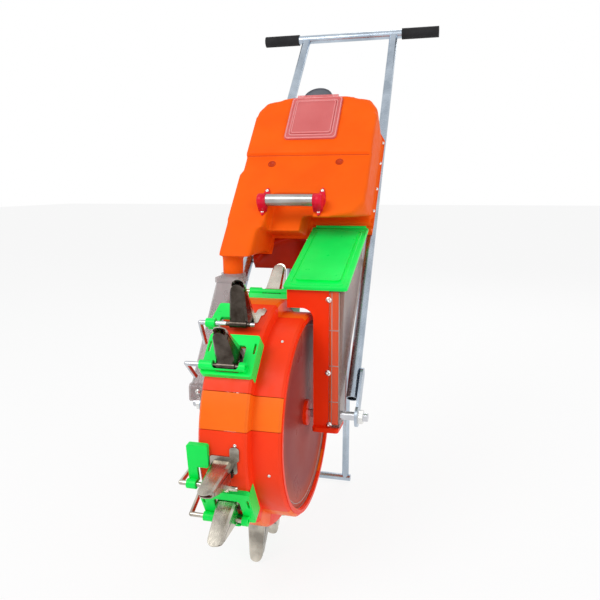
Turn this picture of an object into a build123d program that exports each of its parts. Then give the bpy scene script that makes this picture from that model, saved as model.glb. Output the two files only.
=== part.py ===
"""Hand-pushed rotary planter: duckbill drum, fertiliser tank, side seed box and handle frame.

Millimetres. +Z is up and +Y points from the drum towards the handle. The origin is on the
ground, under the middle of the whole machine.
"""
import os
from math import cos, radians, sin, sqrt, tan

from build123d import *

os.makedirs("parts", exist_ok=True)

# Drum: a wide left band that carries the duckbills and a narrower, smaller right band
LEFT_BAND_R = 210
BAND_STEP = 23
RIGHT_BAND_R = LEFT_BAND_R - BAND_STEP
LEFT_BAND_W = 83
RIGHT_BAND_W = 49
DRUM_OFFSET = -6
DRUM_WALL = 4
DRUM_LIP = 10
EDGE_BEVEL = 4
SEAM_GAP_DEG = 0.3
DISC_T = 3
DISC_RECESS = 6
RIM_RING_W = 7
RIM_RING_T = 2
HUB_R = 24
WEB_T = 4
FEED_OPENING_R = 118
FEED_OPENING_INNER_R = 52

# Duckbills: pairs round the left band. Angles are measured about the axle, up from the front
PAIR_COUNT = 5
FIRST_PAIR_DEG = 54
PAIR_HALF_DEG = 10.5
LONG_SEGMENT_DEG = 55
TIP_REACH = 82
TIP_R = LEFT_BAND_R + TIP_REACH
BRACKET_T = 6
SEED_BRACKET_W = 88
SEED_BRACKET_L = 76
SEED_BRACKET_BACK = 2
SLOT_EDGE = 5
SLOT_L = 20
SLOT_W = 4
SLOT_BACK = 11
FERT_FLANGE_T = 2
JAW_ROOT_HALF_W = 17
FIXED_JAW_DEPTH = 14
MOVING_JAW_DEPTH = 31
JAW_ROOT_CORNER = 4
JAW_TIP_CORNER = 2.5
JAW_TIP_HALF_W = 12
JAW_TIP_DEPTH = 5
JAW_T = 2
JAW_SPLIT = 1.0
JAW_LIFT = 3
MOVING_JAW_SHORT = 5
OUTLET_W = 18
OUTLET_L = 12
ROD_R = 4
ROD_REACH = 28
CRANK_L = 46
PIVOT_BACK = 27
BARREL_R = 8

# Frame: two side tubes that lean back from the axle ends and close in a little towards the top
TUBE_LEAN_DEG = 49.2
TUBE_L = 1073
TUBE_R = 11
TUBE_WALL = 2
TUBE_TOP_X = 119
TUBE_FOOT_X = 138
TUBE_START = 34
HANDLE_HALF_L = 237
GRIP_L = 96
GRIP_R = 14
AXLE_R = 8
AXLE_STUB = 18
NUT_R = 12
NUT_T = 9
PLATE_T = 5
PLATE_HUB_R = 19
PLATE_REACH = 84
PLATE_W = 26
CROSS_R = 8
FIT_GAP = 0.05
SEAT_GAP = 0.3

# Fertiliser tank: two mouldings bolted together, on the front of the side tubes
TANK_HALF_W = 136
TANK_BACK = TUBE_R + SEAT_GAP
TANK_FRONT = 147
TANK_STEP = 8
TANK_WALL = 3
TANK_TOP_S = 684
TANK_CREASE_S = 515
TANK_SHELF_S = 404
TANK_SEAM_N = 44
TANK_ROUND = 7
FLANGE_T = 3
FLANGE_REACH = 6
LEG_LEFT = -142
LEG_RIGHT = -72
LEG_WIDE_S = 465
LEG_UNDER_Z = LEFT_BAND_R + 71
NECK_R = 21
NECK_L = 44
NECK_X = -121
NECK_Y = 97
POCKET_LEFT = -60
POCKET_RIGHT = 36
POCKET_HIGH_S = 412
POCKET_N = 105
PANEL_UNDER_Z = LEFT_BAND_R + 150
PANEL_SLOPE = 0.2325
FLOOR_LEFT = 4
FLOOR_OVER_LID = 32
RECESS_R = 8
RECESS_DEPTH = 2
RECESSES = [(-74, 491), (71, 495)]
# Corner of the face above the seed box: points across and up the tubes
CUT_CORNER = [(TANK_HALF_W, 397), (115, 366), (62, 351), (POCKET_RIGHT, 351)]
FILLER_LOW_S = 558
FILLER_HIGH_S = 668
FILLER_HALF_W = 50
TANK_LID_MARGIN = 7
TANK_LID_T = 4
TANK_BARREL_R = 3.5
REAR_PLATE_X = 4
REAR_PLATE_R = 32
REAR_PLATE_T = 5
REAR_PLATE_BACK = 60

# Lifting grip on the tank
GRIP_TUBE_R = 12
GRIP_TUBE_L = 96
GRIP_TUBE_S = 377
GRIP_TUBE_X = -10
GRIP_STAND_OFF = 8
GRIP_BRACKET_W = 20
GRIP_BRACKET_L = 46

# Seed box: over the right band, with a leg down to the axle
BOX_LEFT = 22
BOX_RIGHT = 128
BOX_FRONT_Y = -10
BOX_LEG_LEFT = 71
BOX_LEG_RIGHT = 120
BOX_WALL = 3
BOX_BELLY_Z = RIGHT_BAND_R + 13
BOX_BELLY_ROUND = 21
BOX_FOOT_Z = -22
BOX_SPLIT_X = 100
LEG_REAR_Y = 38
LEG_REAR_Z = 62
BOX_REAR_LOW_Y = 188
BOX_REAR_LOW_Z = 252
LID_FRONT_Z = RIGHT_BAND_R + 49
LID_SLOPE_DEG = 21.3
LID_RUN = 224
LID_OVERHANG = 6
LID_T = 5
LID_BARREL_R = 4

# Parking stand, behind the drum
STAND_HALF_W = 70
STAND_R = 8
STAND_OVERHANG = 12
EAR_T = 4
EAR_W = 24
PIN_R = 5
STAND_PIVOT_S = 486
STAND_PIVOT_N = -30
STAND_FOOT_Y = 322

# The lowest pair stands on the ground, and the front tip and the grips are the ends of the
# machine, so these place the axle over the origin
PAIR_PITCH = 360 / PAIR_COUNT
AXLE_Z = TIP_R * cos(radians(PAIR_HALF_DEG)) + JAW_TIP_DEPTH * sin(radians(PAIR_HALF_DEG))
FRONT_TIP_DEG = FIRST_PAIR_DEG - PAIR_PITCH + PAIR_HALF_DEG
FRONT_REACH = TIP_R * cos(radians(FRONT_TIP_DEG))
REAR_REACH = TUBE_L * cos(radians(TUBE_LEAN_DEG)) + GRIP_R
AXLE_Y = (FRONT_REACH - REAR_REACH) / 2

# Frames of reference. Drum pieces are drawn about the axle; tank pieces on the tubes' plane,
# where x is across, s runs up the tubes from the axle and n stands off them to the front
AXLE_SPOT = Location((0, AXLE_Y, AXLE_Z))
DRUM_SPOT = Location((DRUM_OFFSET, AXLE_Y, AXLE_Z))
LEAN = radians(TUBE_LEAN_DEG)
TUBE_DIR = Vector(0, cos(LEAN), sin(LEAN))
TUBE_NORMAL = Vector(0, -sin(LEAN), cos(LEAN))


def tube_plane(stand_off):
    """The plane of the side tubes, moved towards the front by stand_off."""
    start = Vector(0, AXLE_Y, AXLE_Z) + TUBE_NORMAL * stand_off
    return Plane(origin=start, x_dir=(1, 0, 0), z_dir=TUBE_NORMAL)


def on_tubes(x, s, n):
    """A point given across, up along and in front of the side tubes."""
    return Vector(x, AXLE_Y, AXLE_Z) + TUBE_DIR * s + TUBE_NORMAL * n


def axle_plane(x, side=1):
    """Plane across the axle at x, facing out on the given side, with its x up the tubes."""
    return Plane(origin=(x, AXLE_Y, AXLE_Z), x_dir=TUBE_DIR, z_dir=(side, 0, 0))


def tube_x(s):
    """Distance of a side tube's centre line from the middle at s."""
    return TUBE_FOOT_X + (TUBE_TOP_X - TUBE_FOOT_X) * s / TUBE_L


def drum_pose(angle):
    """Turns a piece drawn at the top of the drum to its angle and puts it on the axle."""
    return DRUM_SPOT * Location((0, 0, 0), (90 - angle, 0, 0))


PAIR_ANGLES = [FIRST_PAIR_DEG + PAIR_PITCH * i for i in range(PAIR_COUNT)]
SEED_ANGLES = [angle - PAIR_HALF_DEG for angle in PAIR_ANGLES]
FERT_ANGLES = [angle + PAIR_HALF_DEG for angle in PAIR_ANGLES]
SHORT_SEGMENT_DEG = PAIR_PITCH - LONG_SEGMENT_DEG

# Drum, drawn about its own axle
DRUM_LEFT = -(LEFT_BAND_W + RIGHT_BAND_W) / 2
DRUM_RIGHT = -DRUM_LEFT
STEP_X = DRUM_LEFT + LEFT_BAND_W
BAND_X = DRUM_LEFT + LEFT_BAND_W / 2
LIP_LEFT_R = LEFT_BAND_R - DRUM_WALL - DRUM_LIP
LIP_RIGHT_R = RIGHT_BAND_R - DRUM_WALL - DRUM_LIP


def segment_profile():
    """Section of the drum's skin: two bands, the step between them and a lip at each side."""
    with BuildSketch(Plane.XZ) as section:
        with BuildLine():
            Polyline(
                (DRUM_LEFT, LIP_LEFT_R),
                (DRUM_LEFT, LEFT_BAND_R - EDGE_BEVEL),
                (DRUM_LEFT + EDGE_BEVEL, LEFT_BAND_R),
                (STEP_X - EDGE_BEVEL, LEFT_BAND_R),
                (STEP_X, LEFT_BAND_R - EDGE_BEVEL),
                (STEP_X, RIGHT_BAND_R),
                (DRUM_RIGHT - EDGE_BEVEL, RIGHT_BAND_R),
                (DRUM_RIGHT, RIGHT_BAND_R - EDGE_BEVEL),
                (DRUM_RIGHT, LIP_RIGHT_R),
                (DRUM_RIGHT - DRUM_WALL, LIP_RIGHT_R),
                (DRUM_RIGHT - DRUM_WALL, RIGHT_BAND_R - DRUM_WALL),
                (STEP_X - DRUM_WALL, RIGHT_BAND_R - DRUM_WALL),
                (STEP_X - DRUM_WALL, LEFT_BAND_R - DRUM_WALL),
                (DRUM_LEFT + DRUM_WALL, LEFT_BAND_R - DRUM_WALL),
                (DRUM_LEFT + DRUM_WALL, LIP_LEFT_R),
                close=True,
            )
        make_face()
    return section.sketch


def skin_segment(sweep):
    """One moulded segment of the drum's skin, centred on the top of the drum."""
    with BuildPart() as segment:
        add(segment_profile())
        revolve(axis=Axis.X, revolution_arc=sweep - SEAM_GAP_DEG)
    turn = (sweep - SEAM_GAP_DEG) / 2
    return segment.part.rotate(Axis.X, -turn)


short_form = skin_segment(SHORT_SEGMENT_DEG)
with BuildPart() as long_form:
    add(skin_segment(LONG_SEGMENT_DEG))
    # Outlets through the skin, one under each duckbill of the pair
    for turn in (-PAIR_HALF_DEG, PAIR_HALF_DEG):
        with BuildSketch(Plane.XY.rotated((turn, 0, 0)).offset(LEFT_BAND_R - 2 * DRUM_WALL)):
            with Locations((BAND_X, 0)):
                Rectangle(OUTLET_W, OUTLET_L)
        extrude(amount=3 * DRUM_WALL, mode=Mode.SUBTRACT)

with BuildPart() as long_segments:
    with Locations(*[drum_pose(angle) for angle in PAIR_ANGLES]):
        add(long_form.part)
long_segments.part.label = "drum_long_segments"
export_step(long_segments.part, "parts/drum_long_segments.step")

with BuildPart() as short_segments:
    with Locations(*[drum_pose(angle + PAIR_PITCH / 2) for angle in PAIR_ANGLES]):
        add(short_form)
short_segments.part.label = "drum_short_segments"
export_step(short_segments.part, "parts/drum_short_segments.step")

DISC_PLANE = Plane.YZ
with BuildPart() as left_disc_form:
    with BuildSketch(DISC_PLANE.offset(DRUM_LEFT + DISC_RECESS)):
        Circle(LEFT_BAND_R - DRUM_WALL - SEAT_GAP)
        Circle(FEED_OPENING_R, mode=Mode.SUBTRACT)
    extrude(amount=DISC_T)
    with BuildSketch(DISC_PLANE.offset(DRUM_LEFT + DISC_RECESS)):
        Circle(FEED_OPENING_INNER_R)
        Circle(HUB_R + SEAT_GAP, mode=Mode.SUBTRACT)
        with PolarLocations((FEED_OPENING_R + FEED_OPENING_INNER_R) / 2, PAIR_COUNT):
            Rectangle(FEED_OPENING_R - FEED_OPENING_INNER_R + 2 * DISC_T, DRUM_LIP)
    extrude(amount=DISC_T)
with BuildPart() as left_disc:
    with Locations(DRUM_SPOT):
        add(left_disc_form.part)
left_disc.part.label = "drum_left_disc"
export_step(left_disc.part, "parts/drum_left_disc.step")

with BuildPart() as right_disc_form:
    with BuildSketch(DISC_PLANE.offset(DRUM_RIGHT - DISC_RECESS - DISC_T)):
        Circle(RIGHT_BAND_R - DRUM_WALL - SEAT_GAP)
        Circle(HUB_R + SEAT_GAP, mode=Mode.SUBTRACT)
    extrude(amount=DISC_T)
with BuildPart() as right_disc:
    with Locations(DRUM_SPOT):
        add(right_disc_form.part)
right_disc.part.label = "drum_right_disc"
export_step(right_disc.part, "parts/drum_right_disc.step")

RIM_RING_R = RIGHT_BAND_R - EDGE_BEVEL - 1
with BuildPart() as rim_form:
    with BuildSketch(DISC_PLANE.offset(DRUM_RIGHT)):
        Circle(RIM_RING_R)
        Circle(RIM_RING_R - RIM_RING_W, mode=Mode.SUBTRACT)
    extrude(amount=RIM_RING_T)
with BuildPart() as rim_ring:
    with Locations(DRUM_SPOT):
        add(rim_form.part)
rim_ring.part.label = "drum_rim_ring"
export_step(rim_ring.part, "parts/drum_rim_ring.step")

# Hub and web: the web carries the skin and keeps seed and fertiliser apart inside the drum
with BuildPart() as core_form:
    with BuildSketch(DISC_PLANE.offset(DRUM_LEFT)):
        Circle(HUB_R)
    extrude(amount=DRUM_RIGHT - DRUM_LEFT)
    with BuildSketch(DISC_PLANE.offset(STEP_X - DRUM_WALL - SEAT_GAP - WEB_T)):
        Circle(LEFT_BAND_R - DRUM_WALL - SEAT_GAP)
    extrude(amount=WEB_T)
    with BuildSketch(DISC_PLANE.offset(DRUM_LEFT - 1)):
        Circle(AXLE_R + FIT_GAP)
    extrude(amount=DRUM_RIGHT - DRUM_LEFT + 2, mode=Mode.SUBTRACT)
with BuildPart() as core:
    with Locations(DRUM_SPOT):
        add(core_form.part)
core.part.label = "drum_core"
export_step(core.part, "parts/drum_core.step")

# Duckbills, drawn at the top of the drum: x across, y along the rim, z outwards
PLATE_TOP = LEFT_BAND_R + BRACKET_T
PIVOT_Z = PLATE_TOP + BARREL_R - 1
ROD_LEFT = DRUM_LEFT - ROD_REACH
ROD_RIGHT = BAND_X + JAW_ROOT_HALF_W + 12
BRACKET_X = BAND_X - 1.5
BELOW_SKIN = LEFT_BAND_R - 20
CUT_W = 200


def jaw_section(side, wall, half_w, depth, corner):
    """Outline of half a beak at one height, or of the space a wall's thickness inside it."""
    half_w = half_w - wall
    depth = depth - wall
    corner = corner - wall * (2 - sqrt(2))
    split_y = side * JAW_SPLIT / 2
    with BuildSketch() as section:
        with BuildLine():
            Polyline(
                (BAND_X - half_w, split_y),
                (BAND_X - half_w, side * (depth - corner)),
                (BAND_X - half_w + corner, side * depth),
                (BAND_X + half_w - corner, side * depth),
                (BAND_X + half_w, side * (depth - corner)),
                (BAND_X + half_w, split_y),
                close=True,
            )
        make_face()
    return section.sketch


def jaw_shell(side, low, high, root_depth):
    """Half of the beak: a trough that narrows to a rounded tip, open towards the split."""
    with BuildPart() as shell:
        for wall, mode in ((0, Mode.ADD), (JAW_T, Mode.SUBTRACT)):
            with BuildSketch(Plane.XY.offset(low)):
                add(jaw_section(side, wall, JAW_ROOT_HALF_W, root_depth, JAW_ROOT_CORNER))
            with BuildSketch(Plane.XY.offset(high)):
                add(jaw_section(side, wall, JAW_TIP_HALF_W, JAW_TIP_DEPTH, JAW_TIP_CORNER))
            loft(ruled=True, mode=mode)
        with BuildSketch(Plane.XZ):
            with Locations((BAND_X, high - JAW_TIP_HALF_W)):
                Circle(JAW_TIP_HALF_W)
            with Locations((BAND_X, (low + high - JAW_TIP_HALF_W) / 2)):
                Rectangle(4 * JAW_ROOT_HALF_W, high - JAW_TIP_HALF_W - low)
        extrude(amount=root_depth + 1, both=True, mode=Mode.INTERSECT)
    return shell.part


fixed_shell = jaw_shell(1, LEFT_BAND_R + SEAT_GAP, TIP_R, FIXED_JAW_DEPTH)
moving_shell = jaw_shell(-1, PLATE_TOP + JAW_LIFT, TIP_R - MOVING_JAW_SHORT, MOVING_JAW_DEPTH)

OPENING_HALF_W = JAW_ROOT_HALF_W + 6
OPENING_LOW = -PIVOT_BACK - BARREL_R + 1
OPENING_HIGH = FIXED_JAW_DEPTH + 2
BRACKET_LEFT = BRACKET_X - SEED_BRACKET_W / 2
LUG_W = 10
with BuildPart() as seed_bracket_form:
    with BuildSketch(Plane.XY.offset(BELOW_SKIN)):
        with Locations((BRACKET_X, -SEED_BRACKET_BACK)):
            RectangleRounded(SEED_BRACKET_W, SEED_BRACKET_L, 5)
    extrude(amount=PLATE_TOP - BELOW_SKIN)
    with BuildSketch(Plane.YZ.offset(BRACKET_LEFT)):
        with Locations((-PIVOT_BACK, PIVOT_Z)):
            Circle(BARREL_R)
    extrude(amount=BAND_X + OPENING_HALF_W + LUG_W - BRACKET_LEFT)
    with BuildSketch(Plane.YZ.offset(BRACKET_LEFT - 1)):
        Circle(LEFT_BAND_R + SEAT_GAP)
    extrude(amount=STEP_X - BRACKET_LEFT + 1 + SEAT_GAP, mode=Mode.SUBTRACT)
    with BuildSketch(Plane.XY.offset(BELOW_SKIN)):
        with Locations((BAND_X, (OPENING_LOW + OPENING_HIGH) / 2)):
            RectangleRounded(2 * OPENING_HALF_W, OPENING_HIGH - OPENING_LOW, 6)
        slot_x = SEED_BRACKET_W / 2 - SLOT_EDGE
        with Locations((BRACKET_X - slot_x, SLOT_BACK), (BRACKET_X + slot_x, SLOT_BACK)):
            SlotOverall(SLOT_L, SLOT_W, rotation=90)
    extrude(amount=CUT_W, mode=Mode.SUBTRACT)
    with BuildSketch(Plane.YZ.offset(ROD_LEFT)):
        with Locations((-PIVOT_BACK, PIVOT_Z)):
            Circle(ROD_R + FIT_GAP)
    extrude(amount=CUT_W, mode=Mode.SUBTRACT)
with BuildPart() as seed_brackets:
    with Locations(*[drum_pose(angle) for angle in SEED_ANGLES]):
        add(seed_bracket_form.part)
seed_brackets.part.label = "seed_brackets"
export_step(seed_brackets.part, "parts/seed_brackets.step")


def fixed_jaw(flange):
    """A fixed jaw on a thin steel flange that is bent round the drum."""
    ring_r = LEFT_BAND_R + SEAT_GAP
    with BuildPart() as form:
        with BuildSketch(Plane.XY.offset(BELOW_SKIN)):
            add(flange)
        extrude(amount=PLATE_TOP - BELOW_SKIN)
        with BuildSketch(Plane.YZ.offset(-CUT_W / 2)):
            Circle(ring_r + FERT_FLANGE_T)
            Circle(ring_r, mode=Mode.SUBTRACT)
        extrude(amount=CUT_W, mode=Mode.INTERSECT)
        add(fixed_shell)
        with BuildSketch(Plane.XY.offset(BELOW_SKIN)):
            with Locations((BAND_X, 0)):
                Rectangle(OUTLET_W, OUTLET_L)
        extrude(amount=PLATE_TOP - BELOW_SKIN, mode=Mode.SUBTRACT)
    return form.part


with BuildSketch() as seed_flange:
    with Locations((BAND_X, -1)):
        Rectangle(2 * OPENING_HALF_W - 4, 2 * OPENING_HIGH - 4)
with BuildPart() as seed_fixed_jaws:
    with Locations(*[drum_pose(angle) for angle in SEED_ANGLES]):
        add(fixed_jaw(seed_flange.sketch))
seed_fixed_jaws.part.label = "seed_fixed_jaws"
export_step(seed_fixed_jaws.part, "parts/seed_fixed_jaws.step")

with BuildSketch() as fert_flange:
    with Locations((BAND_X + 3, 7)):
        RectangleRounded(46, 30, 5)
    with Locations((BAND_X + 22, 26)):
        RectangleRounded(16, 24, 5)
    with Locations((BAND_X + 12, -9)):
        Circle(8)
with BuildPart() as fert_fixed_jaws:
    with Locations(*[drum_pose(angle) for angle in FERT_ANGLES]):
        add(fixed_jaw(fert_flange.sketch))
fert_fixed_jaws.part.label = "fert_fixed_jaws"
export_step(fert_fixed_jaws.part, "parts/fert_fixed_jaws.step")

# Fertiliser duckbills: a plastic bearing block at the drum's left edge, with a bolted foot
BLOCK_LEFT = DRUM_LEFT - 16
BARREL_W = 16
BLOCK_W = 36
BLOCK_REACH = 40
with BuildPart() as fert_block_form:
    with BuildSketch(Plane.XY.offset(BELOW_SKIN)):
        with Locations((BLOCK_LEFT + BLOCK_W / 2, BLOCK_REACH / 2)):
            RectangleRounded(BLOCK_W, BLOCK_REACH, 4)
        with Locations((BLOCK_LEFT + BARREL_W / 2, -PIVOT_BACK / 2 + 2)):
            Rectangle(BARREL_W, PIVOT_BACK + 4)
    extrude(amount=PLATE_TOP - BELOW_SKIN)
    with BuildSketch(Plane.YZ.offset(BLOCK_LEFT)):
        with Locations((-PIVOT_BACK, PIVOT_Z)):
            Circle(BARREL_R)
    extrude(amount=BARREL_W)
    with BuildSketch(Plane.YZ.offset(BLOCK_LEFT - 1)):
        Circle(LEFT_BAND_R + SEAT_GAP)
    extrude(amount=CUT_W, mode=Mode.SUBTRACT)
    with BuildSketch(Plane.YZ.offset(BLOCK_LEFT - 1)):
        with Locations((-PIVOT_BACK, PIVOT_Z)):
            Circle(ROD_R + FIT_GAP)
    extrude(amount=CUT_W, mode=Mode.SUBTRACT)
with BuildPart() as fert_blocks:
    with Locations(*[drum_pose(angle) for angle in FERT_ANGLES]):
        add(fert_block_form.part)
fert_blocks.part.label = "fert_bearing_blocks"
export_step(fert_blocks.part, "parts/fert_bearing_blocks.step")

# Moving jaw with its hinge rod and the crank that a cam behind the drum's left side pushes
KNUCKLE_R = BARREL_R - 1.5
KNUCKLE_W = 2 * JAW_ROOT_HALF_W - 4
with BuildPart() as moving_form:
    add(moving_shell)
    with BuildSketch(Plane.YZ.offset(BAND_X - KNUCKLE_W / 2)):
        with Locations((-PIVOT_BACK, PIVOT_Z)):
            Circle(KNUCKLE_R)
    extrude(amount=KNUCKLE_W)
    with BuildSketch(Plane.YZ.offset(ROD_LEFT)):
        with Locations((-PIVOT_BACK, PIVOT_Z)):
            Circle(ROD_R)
    extrude(amount=ROD_RIGHT - ROD_LEFT)
    with BuildSketch(Plane.XY.offset(PIVOT_Z - CRANK_L)):
        with Locations((ROD_LEFT, -PIVOT_BACK)):
            Circle(ROD_R)
    extrude(amount=CRANK_L)
    with Locations((ROD_LEFT, -PIVOT_BACK, PIVOT_Z)):
        Sphere(ROD_R)

MOVING_JAWS = [("seed_jaw", SEED_ANGLES), ("fert_jaw", FERT_ANGLES)]
for kind, angles in MOVING_JAWS:
    for number, angle in enumerate(angles, start=1):
        with BuildPart() as moving_jaw:
            with Locations(drum_pose(angle)):
                add(moving_form.part)
        moving_jaw.part.label = f"{kind}_{number}"
        export_step(moving_jaw.part, f"parts/{kind}_{number}.step")

# Axle, its plates on the side tubes and the nuts outside them
PLATE_X = tube_x(TUBE_START) + TUBE_R + SEAT_GAP
AXLE_HALF_L = PLATE_X + PLATE_T + AXLE_STUB
with BuildPart() as axle:
    with BuildSketch(axle_plane(-AXLE_HALF_L)):
        Circle(AXLE_R)
    extrude(amount=2 * AXLE_HALF_L)
    chamfer(axle.edges().filter_by(GeomType.CIRCLE), length=1)
axle.part.label = "axle"
export_step(axle.part, "parts/axle.step")

with BuildPart() as axle_plates:
    for side in (-1, 1):
        with BuildSketch(axle_plane(side * PLATE_X, side)):
            Circle(PLATE_HUB_R)
            with Locations((PLATE_REACH / 2, 0)):
                Rectangle(PLATE_REACH, PLATE_W)
            with Locations((PLATE_REACH, 0)):
                Circle(PLATE_W / 2)
            Circle(AXLE_R + FIT_GAP, mode=Mode.SUBTRACT)
        extrude(amount=PLATE_T)
axle_plates.part.label = "axle_plates"
export_step(axle_plates.part, "parts/axle_plates.step")

with BuildPart() as axle_nuts:
    for side in (-1, 1):
        with BuildSketch(axle_plane(side * (PLATE_X + PLATE_T), side)):
            RegularPolygon(NUT_R, 6, major_radius=False)
            Circle(AXLE_R + FIT_GAP, mode=Mode.SUBTRACT)
        extrude(amount=NUT_T)
axle_nuts.part.label = "axle_nuts"
export_step(axle_nuts.part, "parts/axle_nuts.step")

# Side tubes
with BuildPart() as side_tubes:
    for side in (-1, 1):
        foot = on_tubes(side * tube_x(TUBE_START), TUBE_START, 0)
        top = on_tubes(side * tube_x(TUBE_L - TUBE_R), TUBE_L - TUBE_R - SEAT_GAP, 0)
        run = top - foot
        with BuildSketch(Plane(origin=foot, x_dir=(1, 0, 0), z_dir=run)):
            Circle(TUBE_R)
            Circle(TUBE_R - TUBE_WALL, mode=Mode.SUBTRACT)
        extrude(amount=run.length)
side_tubes.part.label = "side_tubes"
export_step(side_tubes.part, "parts/side_tubes.step")

CROSS_TUBE_S = [340, STAND_PIVOT_S, 712]
with BuildPart() as cross_tubes:
    for s in CROSS_TUBE_S:
        half = tube_x(s) - TUBE_R - SEAT_GAP - CROSS_R * (TUBE_FOOT_X - TUBE_TOP_X) / TUBE_L
        with BuildSketch(Plane(origin=on_tubes(-half, s, 0), x_dir=(0, 1, 0), z_dir=(1, 0, 0))):
            Circle(CROSS_R)
            Circle(CROSS_R - TUBE_WALL, mode=Mode.SUBTRACT)
        extrude(amount=2 * half)
cross_tubes.part.label = "cross_tubes"
export_step(cross_tubes.part, "parts/cross_tubes.step")

GRIP_END_T = 2


def bar_plane(x, side):
    """Plane across the handlebar at x, facing along it to the given side."""
    return Plane(origin=on_tubes(x, TUBE_L, 0), x_dir=(0, 1, 0), z_dir=(side, 0, 0))


BAR_HALF_L = HANDLE_HALF_L - GRIP_END_T
with BuildPart() as handlebar:
    with BuildSketch(bar_plane(-BAR_HALF_L, 1)):
        Circle(TUBE_R)
        Circle(TUBE_R - TUBE_WALL, mode=Mode.SUBTRACT)
    extrude(amount=2 * BAR_HALF_L)
handlebar.part.label = "handlebar"
export_step(handlebar.part, "parts/handlebar.step")

with BuildPart() as grips:
    for side in (-1, 1):
        with BuildSketch(bar_plane(side * HANDLE_HALF_L, -side)):
            Circle(GRIP_R)
        extrude(amount=GRIP_L)
        with BuildSketch(bar_plane(side * BAR_HALF_L, -side)):
            Circle(TUBE_R + FIT_GAP)
        extrude(amount=GRIP_L, mode=Mode.SUBTRACT)
grips.part.label = "grips"
export_step(grips.part, "parts/grips.step")

# Fertiliser tank, drawn on the tubes' plane
TANK_FACE_N = TANK_FRONT - TANK_STEP
FILLER_S = (FILLER_LOW_S + FILLER_HIGH_S) / 2
FILLER_L = FILLER_HIGH_S - FILLER_LOW_S
# The outline's lower ends are drawn long and then cut by the undersides
PANEL_END_S = 300
LEG_END_S = 180
POCKET_HALF_L = 70
NECK_IN = 15


def tank_upper_outline(inset):
    """Upper block of the tank, seen from the front: x across, s up the tubes."""
    half = TANK_HALF_W - inset
    shoulder_x = half - 18
    shoulder_s = TANK_TOP_S - 12 - inset
    with BuildSketch() as outline:
        with BuildLine():
            Polyline(
                (-shoulder_x, shoulder_s),
                (-half, TANK_TOP_S - 40),
                (-half, TANK_CREASE_S - 1 + inset),
                (half, TANK_CREASE_S - 1 + inset),
                (half, TANK_TOP_S - 40),
                (shoulder_x, shoulder_s),
                (shoulder_x / 2, TANK_TOP_S - inset),
                (-shoulder_x / 2, TANK_TOP_S - inset),
                close=True,
            )
        make_face()
    return outline.sketch


def tank_lower_outline(inset):
    """Lower block: a cut corner above the seed box, and a wider leg on the left."""
    half = TANK_HALF_W - inset
    with BuildSketch() as outline:
        with BuildLine():
            Polyline(
                (half, TANK_CREASE_S),
                *[(x - inset * x / TANK_HALF_W, s + inset) for x, s in CUT_CORNER],
                (POCKET_RIGHT, PANEL_END_S + inset),
                (LEG_RIGHT - inset, PANEL_END_S + inset),
                (LEG_RIGHT - inset, LEG_END_S),
                (LEG_LEFT + inset, LEG_END_S),
                (LEG_LEFT + inset, LEG_WIDE_S),
                (-half, LEG_WIDE_S + 12),
                (-half, TANK_CREASE_S),
                close=True,
            )
        make_face()
    return outline.sketch


def tank_block(outline, back, front, rounding):
    """One block of the tank between two distances from the tubes, its front edges rounded."""
    with BuildPart() as block:
        with BuildSketch(tube_plane(back)):
            add(outline)
        extrude(amount=front - back)
        if rounding > 0:
            front_face = block.faces().sort_by(Axis((0, 0, 0), TUBE_NORMAL))[-1]
            fillet(front_face.edges(), radius=rounding)
    return block.part


# Undersides of the leg, of the panel behind the lifting grip and of the part over the seed
# box: left edge, height above the axle and slope down to the rear
LID_RISE = LID_RUN * tan(radians(LID_SLOPE_DEG))
UNDERSIDES = [
    (-CUT_W, LEG_UNDER_Z, 0),
    (LEG_RIGHT, PANEL_UNDER_Z, PANEL_SLOPE),
    (FLOOR_LEFT, LID_FRONT_Z + LID_RISE + FLOOR_OVER_LID, 0),
]
UNDER_RUN = 2 * CUT_W


def neck_plane(drop):
    """Level plane across the neck, drop below the leg's underside."""
    middle = Vector(NECK_X, AXLE_Y + NECK_Y, AXLE_Z + LEG_UNDER_Z - drop)
    return Plane(origin=middle, x_dir=(1, 0, 0), z_dir=(0, 0, -1))


def tank_form(inset, rounding):
    """Outside of the tank, or with an inset the space inside it."""
    with BuildPart() as form:
        lower = tank_lower_outline(inset)
        add(tank_block(lower, TANK_SEAM_N - FLANGE_T + inset, TANK_FACE_N - inset, rounding))
        with BuildSketch(tube_plane(POCKET_N - inset)):
            with Locations(((POCKET_LEFT + POCKET_RIGHT) / 2, POCKET_HIGH_S - POCKET_HALF_L)):
                RectangleRounded(
                    POCKET_RIGHT - POCKET_LEFT + 2 * inset, 2 * (POCKET_HALF_L + inset), 12
                )
        extrude(amount=TANK_FRONT, mode=Mode.SUBTRACT)
        for left, height, slope in UNDERSIDES:
            with BuildSketch(Plane.YZ.offset(left - inset)):
                with BuildLine():
                    Polyline(
                        (AXLE_Y, AXLE_Z + height + inset),
                        (AXLE_Y + UNDER_RUN, AXLE_Z + height + inset - slope * UNDER_RUN),
                        (AXLE_Y + UNDER_RUN, AXLE_Z),
                        (AXLE_Y, AXLE_Z),
                        close=True,
                    )
                make_face()
            extrude(amount=2 * CUT_W, mode=Mode.SUBTRACT)
        upper = tank_upper_outline(inset)
        add(tank_block(upper, TANK_BACK + inset, TANK_FRONT - inset, rounding))
        with BuildSketch(tube_plane(TANK_BACK + inset)):
            with Locations((0, (TANK_CREASE_S + TANK_SHELF_S + inset) / 2)):
                Rectangle(2 * (TANK_HALF_W - inset), TANK_CREASE_S - TANK_SHELF_S - inset + 1)
        extrude(amount=TANK_SEAM_N + 1 - TANK_BACK - inset)
        with BuildSketch(neck_plane(-NECK_IN - inset)):
            Circle(NECK_R - inset)
        extrude(amount=NECK_IN + NECK_L + 2 * inset)
    return form.part


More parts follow.
